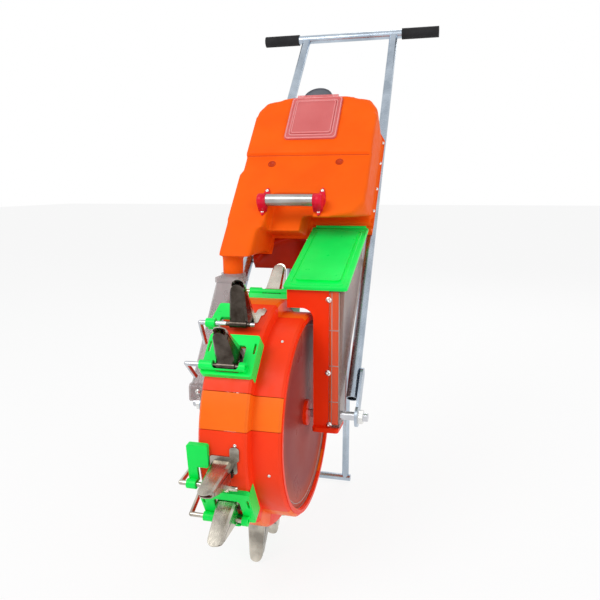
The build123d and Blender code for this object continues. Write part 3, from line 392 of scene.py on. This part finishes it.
def sweep(bm, path, up, radius, closed=False, steps=8):
    """A round bead along a path that lies square to the direction up, its radius in metres."""
    count = len(path)
    rings = []
    for i, point in enumerate(path):
        before = path[i - 1] if closed or i else path[0]
        after = path[(i + 1) % count] if closed or i < count - 1 else path[-1]
        side = up.cross((after - before).normalized()).normalized()
        ring = []
        for k in range(steps):
            angle = 2 * math.pi * k / steps
            arm = side * math.cos(angle) + up * math.sin(angle)
            ring.append(bm.verts.new(point + arm * radius))
        rings.append(ring)
    pairs = list(zip(rings, rings[1:]))
    if closed:
        pairs.append((rings[-1], rings[0]))
    for low, high in pairs:
        bridge(bm, low, high)
    if not closed:
        bm.faces.new(reversed(rings[0]))
        bm.faces.new(rings[-1])


def rounded(x0, x1, y0, y1, radius, steps=6):
    """Corner points of a rounded rectangle, anticlockwise."""
    points = []
    corners = [(x1 - radius, y0 + radius, -90), (x1 - radius, y1 - radius, 0),
               (x0 + radius, y1 - radius, 90), (x0 + radius, y0 + radius, 180)]
    for x, y, first in corners:
        for i in range(steps + 1):
            angle = math.radians(first + 90 * i / steps)
            points.append((x + radius * math.cos(angle), y + radius * math.sin(angle)))
    return points


def plate(bm, outline, place, low, high, edge):
    """A flat piece from an outline, with its upper edges rounded off over edge millimetres."""
    middle = [sum(p[i] for p in outline) / len(outline) for i in (0, 1)]
    layers = [(low, 0), (high - edge, 0), (high - edge * 0.3, edge * 0.3), (high, edge)]
    rings = []
    for height, inset in layers:
        ring = []
        for x, y in outline:
            reach = math.hypot(x - middle[0], y - middle[1])
            scale = (reach - inset) / reach
            ring.append(bm.verts.new(place(middle[0] + (x - middle[0]) * scale,
                                           middle[1] + (y - middle[1]) * scale, height)))
        rings.append(ring)
    for lower, upper in zip(rings, rings[1:]):
        bridge(bm, lower, upper)
    bm.faces.new(reversed(rings[0]))
    bm.faces.new(rings[-1])


def finish_piece(bm, name, look, body):
    """Makes the mesh an object with smooth shading that rides on a body."""
    mesh = bpy.data.meshes.new(name)
    bmesh.ops.recalc_face_normals(bm, faces=bm.faces)
    for face in bm.faces:
        face.smooth = True
    bm.to_mesh(mesh)
    bm.free()
    piece = bpy.data.objects.new(name, mesh)
    bpy.context.scene.collection.objects.link(piece)
    mesh.materials.append(look)
    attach(piece, body)
    return piece


# Fastener heads: (radius, height) in millimetres
PAN_HEAD = [(1.0, -1.0), (3.2, -1.0), (3.4, 0.4), (3.1, 1.2), (2.2, 1.7), (1.4, 1.8),
            (1.1, 1.1), (0.3, 1.0)]
WASHER_HEAD = [(5.4, -1.0), (5.4, 0.7), (5.0, 0.9), (3.4, 0.95), (3.3, 2.6), (2.8, 3.1),
               (1.5, 3.2), (1.2, 2.2), (0.3, 2.1)]


def heads(name, profile, spots, look, body, size=1.0):
    """One object with a fastener head at each (point, direction)."""
    bm = bmesh.new()
    for at, out in spots:
        lathe(bm, [(r * size, h * size) for r, h in profile], at, out)
    piece = finish_piece(bm, name, look, body)


# Drum screws: (x, radius, degrees past a pair of bills), one each on the wide and narrow bands
FIRST_PAIR, PAIR_STEP, PAIRS = 54, 72, 5
DRUM_SCREWS = ((-2, 210, 21.6), (45, 187, 4))
drum_spots = []
for i in range(PAIRS):
    for x, radius, past in DRUM_SCREWS:
        drum_spots.append(on_drum(x, radius, FIRST_PAIR + PAIR_STEP * i + past))
heads("drum_screws", PAN_HEAD, drum_spots, screw_steel, "drum", size=0.85)

# Beads on the tank's lid: (half width, s from, s to, corner radius, n, bead radius)
TANK_LID_BEADS = ((54.5, 553, 673, 8, 151.2, 1.5), (47, 561, 665, 7, 151.4, 1.6),
                  (42.5, 566, 660, 5, 154, 0.9))
# The beads are real ridges; their paler pink is a painted highlight
bm = bmesh.new()
for half, low, high, corner, n, thick in TANK_LID_BEADS:
    path = [on_tubes(x, s, n) for x, s in rounded(-half, half, low, high, corner)]
    sweep(bm, path, TUBE_NORMAL, thick / 1000, closed=True)
finish_piece(bm, "tank_lid_beads", highlight_pink, "tank_lid")

# Beads on the seed box's lid: (inset from its edges, bead radius)
SEED_LID_BEADS = ((2.2, 1.1), (11, 1.5))
SEED_LID_X0, SEED_LID_X1, SEED_LID_LOW, SEED_LID_HIGH = 16, 134, -6, 236
SEED_LID_TOP, SEED_LID_CORNER = 5.2, 6
bm = bmesh.new()
for inset, thick in SEED_LID_BEADS:
    outline = rounded(SEED_LID_X0 + inset, SEED_LID_X1 - inset,
                      SEED_LID_LOW + inset, SEED_LID_HIGH - inset, SEED_LID_CORNER)
    path = [on_lid(x, along, SEED_LID_TOP) for x, along in outline]
    sweep(bm, path, LID_UP, thick / 1000, closed=True)
finish_piece(bm, "seed_lid_beads", green, "seed_lid")

# Blow-moulded skin of the tank's front: the model's own form with every edge drawn round,
# the step above the seed box closed, and the filler mouth cut through again
SKIN_VOXEL = 0.0026
SKIN_SMOOTHING = 4
PLUG = rounded(-52, 52, 556, 670, 4, 3)
PLUG_FROM_N, PLUG_TO_N, PLUG_EDGE = 133, 138.7, 0.2
NECK_END = Vector((-0.121, AXLE_Y + 0.097, AXLE_Z + 0.237))
NECK_PLUG = [(19.8, 0.2), (19.8, 4.5)]
BACK_FROM_N, BACK_TO_N, BACK_EDGE = 44.2, 49, 0.2
BACK_PATCHES = [
    [(134.5, 512), (134.5, 644), (116.5, 670.5), (58, 682.5),
     (-58, 682.5), (-116.5, 670.5), (-134.5, 644), (-134.5, 512)],
    [(134.5, 406), (134.5, 516), (-134.5, 516), (-134.5, 406)],
    [(-73.5, 333.5), (-73.5, 412), (-140.5, 412), (-140.5, 333.5)],
    [(8, 373.5), (8, 412), (-76, 412), (-76, 373.5)],
]
MOUTH_HALF, MOUTH_FROM_S, MOUTH_TO_S, MOUTH_MIN_N = 48.5, 559.5, 666.5, 120
LIP_DEPTH = 0.012
# Rounder corners: (lowest |x|, side or 0 for both, s from, s to, above n, rounds of smoothing)
CORNERS = [(80, 0, 626, 700, 40, 40), (70, 1, 330, 430, 80, 30), (60, -1, 200, 345, 40, 25)]


def closed_tank():
    """The tank's mesh with its mouth, neck and open back covered."""
    bm = bmesh.new()
    bm.from_mesh(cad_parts["fertiliser_tank"].data)
    plate(bm, PLUG, on_tubes, PLUG_FROM_N, PLUG_TO_N, PLUG_EDGE)
    lathe(bm, NECK_PLUG, NECK_END, UP)
    for outline in BACK_PATCHES:
        plate(bm, outline, on_tubes, BACK_FROM_N, BACK_TO_N, BACK_EDGE)
    mesh = bpy.data.meshes.new("tank_skin_source")
    bm.to_mesh(mesh)
    bm.free()
    return mesh


def soft_skin(mesh):
    """The mesh rebuilt from small even faces and smoothed."""
    source = bpy.data.objects.new("tank_skin_source", mesh)
    bpy.context.scene.collection.objects.link(source)
    remesh = source.modifiers.new("skin", "REMESH")
    remesh.mode = "VOXEL"
    remesh.voxel_size = SKIN_VOXEL
    soften = source.modifiers.new("soften", "SMOOTH")
    soften.factor = 0.5
    soften.iterations = SKIN_SMOOTHING
    depsgraph = bpy.context.evaluated_depsgraph_get()
    skin_mesh = bpy.data.meshes.new_from_object(source.evaluated_get(depsgraph))
    bpy.data.objects.remove(source)
    bm = bmesh.new()
    bm.from_mesh(skin_mesh)
    return bm


def cut_mouth(bm):
    """Cuts the filler mouth through the skin."""
    cuts = ((on_tubes(MOUTH_HALF, 0, 0), ACROSS), (on_tubes(-MOUTH_HALF, 0, 0), ACROSS),
            (on_tubes(0, MOUTH_FROM_S, 0), TUBE_DIR), (on_tubes(0, MOUTH_TO_S, 0), TUBE_DIR))
    for point, normal in cuts:
        everything = bm.verts[:] + bm.edges[:] + bm.faces[:]
        bmesh.ops.bisect_plane(bm, geom=everything, plane_co=point, plane_no=normal)
    mouth = []
    for face in bm.faces:
        x, s, n = from_tubes(face.calc_center_median())
        if abs(x) < MOUTH_HALF and MOUTH_FROM_S < s < MOUTH_TO_S and n > MOUTH_MIN_N:
            mouth.append(face)
    bmesh.ops.delete(bm, geom=mouth, context="FACES")


def round_corner(bm, low_x, side, from_s, to_s, above, rounds):
    """Smooths one of the CORNERS."""
    chosen = []
    for vert in bm.verts:
        x, s, n = from_tubes(vert.co)
        out = abs(x) if side == 0 else side * x
        if from_s < s < to_s and n > above and out > low_x:
            chosen.append(vert)
    for _ in range(rounds):
        bmesh.ops.smooth_vert(bm, verts=chosen, factor=0.5,
                              use_axis_x=True, use_axis_y=True, use_axis_z=True)


bm = soft_skin(closed_tank())
cut_mouth(bm)
for corner in CORNERS:
    round_corner(bm, *corner)
rim = [edge for edge in bm.edges if edge.is_boundary]
lip = bmesh.ops.extrude_edge_only(bm, edges=rim)
lip_verts = [v for v in lip["geom"] if isinstance(v, bmesh.types.BMVert)]
bmesh.ops.translate(bm, verts=lip_verts, vec=TUBE_NORMAL * -LIP_DEPTH)
skin = finish_piece(bm, "tank_skin", tank_orange, "frame")
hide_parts("fertiliser_tank")

# Shadow line in the crease between the tank's two blocks
CREASE_S, CREASE_N, CREASE_R = 513.6, 139.3, 0.0011
bm = bmesh.new()
sweep(bm, [on_tubes(x, CREASE_S, CREASE_N) for x in range(-131, 132, 2)], TUBE_NORMAL, CREASE_R)
finish_piece(bm, "tank_crease", painted_shade_orange, "frame")

# Dark half-round plate behind the tank's lid
REAR_X, REAR_S, REAR_HALF_W, REAR_RISE = -3, 681, 32, 31
REAR_FROM_N, REAR_TO_N, REAR_EDGE, REAR_BEAD = 137.5, 142, 1.0, 0.0014
REAR_STEPS = 24
half_round = []
for i in range(REAR_STEPS + 1):
    angle = math.pi * i / REAR_STEPS
    half_round.append((REAR_X + REAR_HALF_W * math.cos(angle), REAR_S + REAR_RISE * math.sin(angle)))
bm = bmesh.new()
plate(bm, half_round, on_tubes, REAR_FROM_N, REAR_TO_N, REAR_EDGE)
sweep(bm, [on_tubes(x, s, REAR_TO_N) for x, s in half_round], TUBE_NORMAL, REAR_BEAD)
rear = finish_piece(bm, "half_round_plate", smoke, "frame")
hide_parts("rear_plate")

# Pan behind the arch of the tank, with the flange that its bolts go through: (x, s) along the
# arch, and the pan's section as (further across, below the arch, n)
ARCH = [(-106, 322), (-97, 330), (-90, 343), (-80, 358),
        (-66, 370), (-50, 378), (-30, 385), (-4, 391)]
FLANGE_N, PAN_N = 43.5, 28
PAN_SECTION = [(0, 0, FLANGE_N), (3, 12, FLANGE_N), (4, 16, 40), (4, 18, PAN_N)]
PAN_LOW_S, PAN_SHEET = 302, 0.0025
bm = bmesh.new()
rows = []
for x, s in ARCH:
    row = [(x + across, s - below, n) for across, below, n in PAN_SECTION]
    wall_x, wall_s, wall_n = row[-1]
    row.append((wall_x, min(wall_s, PAN_LOW_S), wall_n))
    rows.append([bm.verts.new(on_tubes(*point)) for point in row])
for first, second in zip(rows, rows[1:]):
    bridge(bm, first, second, closed=False)
bmesh.ops.recalc_face_normals(bm, faces=bm.faces)
bmesh.ops.solidify(bm, geom=bm.faces[:], thickness=PAN_SHEET)
# The pan is the tank's own plastic; its darker orange-red is painted shade
finish_piece(bm, "tank_pan", pan_painted_shade, "frame")

# Cups in the tank's two round recesses, darker orange as painted shade: (x, s), and their (radius,
# height)
RECESSES = ((-74, 491), (71, 495))
CUP = [(8.2, -2.5), (8.2, 0.1), (7.6, 0.5), (7.0, 0.2), (6.2, -1.2), (0.6, -1.4)]
CUP_N, CUP_STEPS = 139.2, 28
bm = bmesh.new()
for x, s in RECESSES:
    lathe(bm, CUP, on_tubes(x, s, CUP_N), TUBE_NORMAL, CUP_STEPS)
finish_piece(bm, "tank_recess_cups", painted_shade_orange, "frame")

# Lifting grip brackets: two lobes with a screw in each and a saddle over the tube's end
GRIP_S, GRIP_N = 377, 157.6
GRIP_ENDS = ((-68, -1), (48, 1))
LOBE_S, LOBE_HALF_W, LOBE_STEPS = 388, 9.6, 48
LOBE_WAIST, LOBE_REACH, LOBE_POWER = 10, 25, 1.5
WAIST_BELOW, WAIST_FLARE = 0.5, 1.02
LOBE_FROM_N, LOBE_TO_N, LOBE_EDGE = 139.1, 143.2, 1.4
SADDLE_R, SADDLE_STEPS = 14.2, 16
SADDLE_FOOT_N = 143
SADDLE_FEET = (394, 360)
# Sections of the saddle: (outwards from the lobes, shrink), and the shrink that leaves nothing
SADDLE_SECTIONS = ((-10, 0), (5, 0), (7.5, 1.2), (8.4, 3.4))
SHRINK_S, SHRINK_N = 20, 30
GRIP_SCREW_S = (414.5, 361)


def lobes(x):
    """Outline of the two lobes, narrow at the middle."""
    outline = []
    for i in range(LOBE_STEPS):
        angle = 2 * math.pi * i / LOBE_STEPS
        rise = abs(math.sin(angle))
        reach = LOBE_WAIST + LOBE_REACH * rise ** LOBE_POWER
        wide = LOBE_HALF_W * math.cos(angle) * (1 if rise > WAIST_BELOW else WAIST_FLARE)
        outline.append((x + wide, LOBE_S + reach * math.sin(angle)))
    return outline


def saddle(bm, x, turn):
    """The saddle over one end of the grip's tube, closed and rounded on its outer side."""
    arc = []
    for i in range(SADDLE_STEPS + 1):
        angle = math.pi * i / SADDLE_STEPS
        arc.append((GRIP_S + SADDLE_R * math.cos(angle), GRIP_N + SADDLE_R * math.sin(angle)))
    section = [(SADDLE_FEET[0], SADDLE_FOOT_N)] + arc + [(SADDLE_FEET[1], SADDLE_FOOT_N)]
    rings = []
    for out, shrink in SADDLE_SECTIONS:
        ring = []
        for s, n in section:
            inner_s = GRIP_S + (s - GRIP_S) * (1 - shrink / SHRINK_S)
            inner_n = SADDLE_FOOT_N + (n - SADDLE_FOOT_N) * (1 - shrink / SHRINK_N)
            ring.append(bm.verts.new(on_tubes(x + turn * out, inner_s, inner_n)))
        rings.append(ring)
    for first, second in zip(rings, rings[1:]):
        bridge(bm, first, second)
    bm.faces.new(rings[0])
    bm.faces.new(rings[-1])


bm = bmesh.new()
screws = []
for x, turn in GRIP_ENDS:
    plate(bm, lobes(x), on_tubes, LOBE_FROM_N, LOBE_TO_N, LOBE_EDGE)
    saddle(bm, x, turn)
    screws += [(on_tubes(x, s, SADDLE_FOOT_N), TUBE_NORMAL) for s in GRIP_SCREW_S]
brackets = finish_piece(bm, "grip_brackets", crimson, "frame")
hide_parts("lift_grip_brackets")
heads("grip_screws", PAN_HEAD, screws, screw_steel, "frame", size=1.1)

# Bolts along the tank's seam and on the pan's flange: (x, s, n)
SEAM_N = 47
TANK_BOLTS = [(138, s, SEAM_N) for s in (634, 573, 500, 440)]
TANK_BOLTS += [(-139, s, SEAM_N) for s in (628, 573, 520)]
TANK_BOLTS += [(-29, 378, FLANGE_N), (-89, 333, FLANGE_N)]
tank_spots = [(on_tubes(*spot), TUBE_NORMAL) for spot in TANK_BOLTS]
heads("tank_bolts", WASHER_HEAD, tank_spots, screw_steel, "frame", size=0.75)

# Seed box: screws at (x, z), and the steps and uprights of its clear front strip
BOX_SCREWS = ((99.5, 217), (98.5, 82), (101, -17))
STEP_Z, STEP_FROM_X, STEP_TO_X, STEP_R = (161.5, 95.6, 27.8), 101, 119, 0.0012
UPRIGHT_X, UPRIGHT_FROM_Z, UPRIGHT_TO_Z, UPRIGHT_R = (105.5, 118.5), -14, 231, 0.0011
box_spots = [(on_box(x, z), FRONT) for x, z in BOX_SCREWS]
heads("seed_box_screws", WASHER_HEAD, box_spots, screw_steel, "frame")
# The steps and uprights are real ridges; their paler clear colour is a painted highlight
bm = bmesh.new()
for z in STEP_Z:
    sweep(bm, [on_box(STEP_FROM_X, z), on_box(STEP_TO_X, z)], FRONT, STEP_R)
for x in UPRIGHT_X:
    sweep(bm, [on_box(x, UPRIGHT_FROM_Z), on_box(x, UPRIGHT_TO_Z)], FRONT, UPRIGHT_R)
finish_piece(bm, "window_steps", edge_clear, "frame")

# The clear front strip itself, just in front of the box
STRIP = rounded(101, 118.5, -16, 232, 2, 2)
STRIP_Y = -10.1
STRIP_THICK, STRIP_EDGE = 0.7, 0.3
bm = bmesh.new()
plate(bm, STRIP, lambda x, z, out: on_box(x, z, STRIP_Y - out), 0, STRIP_THICK, STRIP_EDGE)
finish_piece(bm, "window_front_strip", strip_clear, "frame")

# Bolt on the chute: (x, z, y)
CHUTE_BOLT = (-133, 46, -67.2)
heads("chute_bolt", WASHER_HEAD, [(on_box(*CHUTE_BOLT), FRONT)], screw_steel, "frame", size=0.9)

# Rings on the clear disc
RING_RADII = (165, 174)
RING_X, RING_BEAD, RING_STEPS = 60.2, 0.0008, 96
bm = bmesh.new()
for radius in RING_RADII:
    path = [on_drum(RING_X, radius, i * 360 / RING_STEPS)[0] for i in range(RING_STEPS)]
    sweep(bm, path, ACROSS, RING_BEAD, closed=True, steps=6)
finish_piece(bm, "disc_rings", edge_clear, "drum")

# Floor: pale, and mostly white by itself where it is seen, so that it meets the white behind it
WHITE = (1, 1, 1, 1)
FLOOR_WHITE = 0.85
FLOOR_TONE, FLOOR_ROUGH = (0.92, 0.92, 0.92, 1), 0.9
bpy.ops.mesh.primitive_plane_add(size=30, location=(0, 6, 0))
floor = bpy.context.object
floor.name = "floor"
floor_look = Look("floor_pale")
floor_look.shader.inputs["Base Color"].default_value = FLOOR_TONE
floor_look.shader.inputs["Roughness"].default_value = FLOOR_ROUGH
tree = floor_look.tree
glow = tree.nodes.new("ShaderNodeEmission")
glow.inputs["Color"].default_value = WHITE
glow.inputs["Strength"].default_value = 1.0
path, seen = direct_view(tree)
shown = calc(tree, "MAXIMUM", seen, path.outputs["Is Glossy Ray"])
mixed_shader(tree, calc(tree, "MULTIPLY", shown, FLOOR_WHITE), floor_look.shader.outputs["BSDF"],
             glow.outputs["Emission"], tree.nodes["Material Output"].inputs["Surface"])
floor.data.materials.append(floor_look.mat)
floor_look.mat.cycles.emission_sampling = "NONE"

# World: white where it is seen, nearly so in reflections, and softer as a light
SOFT_LIGHT = 0.55
GLOSSY_WHITE = 0.8
scene = bpy.context.scene
world = bpy.data.worlds.new("studio")
scene.world = world
world.use_nodes = True
tree = world.node_tree
soft = tree.nodes["Background"]
soft.inputs["Color"].default_value = WHITE
soft.inputs["Strength"].default_value = SOFT_LIGHT
white = tree.nodes.new("ShaderNodeBackground")
white.inputs["Color"].default_value = WHITE
white.inputs["Strength"].default_value = 1.0
path, seen = direct_view(tree)
shown = calc(tree, "MULTIPLY_ADD", path.outputs["Is Glossy Ray"], GLOSSY_WHITE, seen, clamp=True)
mixed_shader(tree, shown, soft.outputs["Background"], white.outputs["Background"],
             tree.nodes["World Output"].inputs["Surface"])

# Lamps: (name, place, size, power), all aimed at the planter's middle
LAMPS = [
    ("key", (-1.4, -2.2, 2.6), 1.6, 42),
    ("fill", (2.2, -1.6, 1.4), 1.8, 18),
    ("back", (0.4, 2.4, 2.4), 1.6, 22),
]
LAMP_TARGET = Vector((0, 0, 0.5))
for name, spot, size, power in LAMPS:
    lamp = bpy.data.lights.new(name, "AREA")
    lamp.size = size
    lamp.energy = power
    holder = bpy.data.objects.new(name, lamp)
    scene.collection.objects.link(holder)
    holder.location = spot
    holder.rotation_euler = (LAMP_TARGET - Vector(spot)).to_track_quat("-Z", "Y").to_euler()

# Camera fitted to the photograph, its focal length in pixels of a picture 600 wide
CAMERA_SPOT = (0.33725, -1.3128, 0.70768)
CAMERA_YAW = math.radians(14.935)
CAMERA_PITCH = math.radians(10.297)
CAMERA_ROLL = math.radians(-0.244)
FOCAL_PIXELS, PICTURE_PIXELS, SENSOR_WIDTH = 636.26, 600, 36
camera_data = bpy.data.cameras.new("camera")
camera_data.sensor_width = SENSOR_WIDTH
camera_data.lens = SENSOR_WIDTH * FOCAL_PIXELS / PICTURE_PIXELS
camera = bpy.data.objects.new("camera", camera_data)
scene.collection.objects.link(camera)
camera.matrix_world = (
    Matrix.Translation(CAMERA_SPOT)
    @ Matrix.Rotation(CAMERA_YAW, 4, "Z")
    @ Matrix.Rotation(math.pi / 2 - CAMERA_PITCH, 4, "X")
    @ Matrix.Rotation(CAMERA_ROLL, 4, "Z")
)
scene.camera = camera
scene.view_settings.view_transform = "Standard"
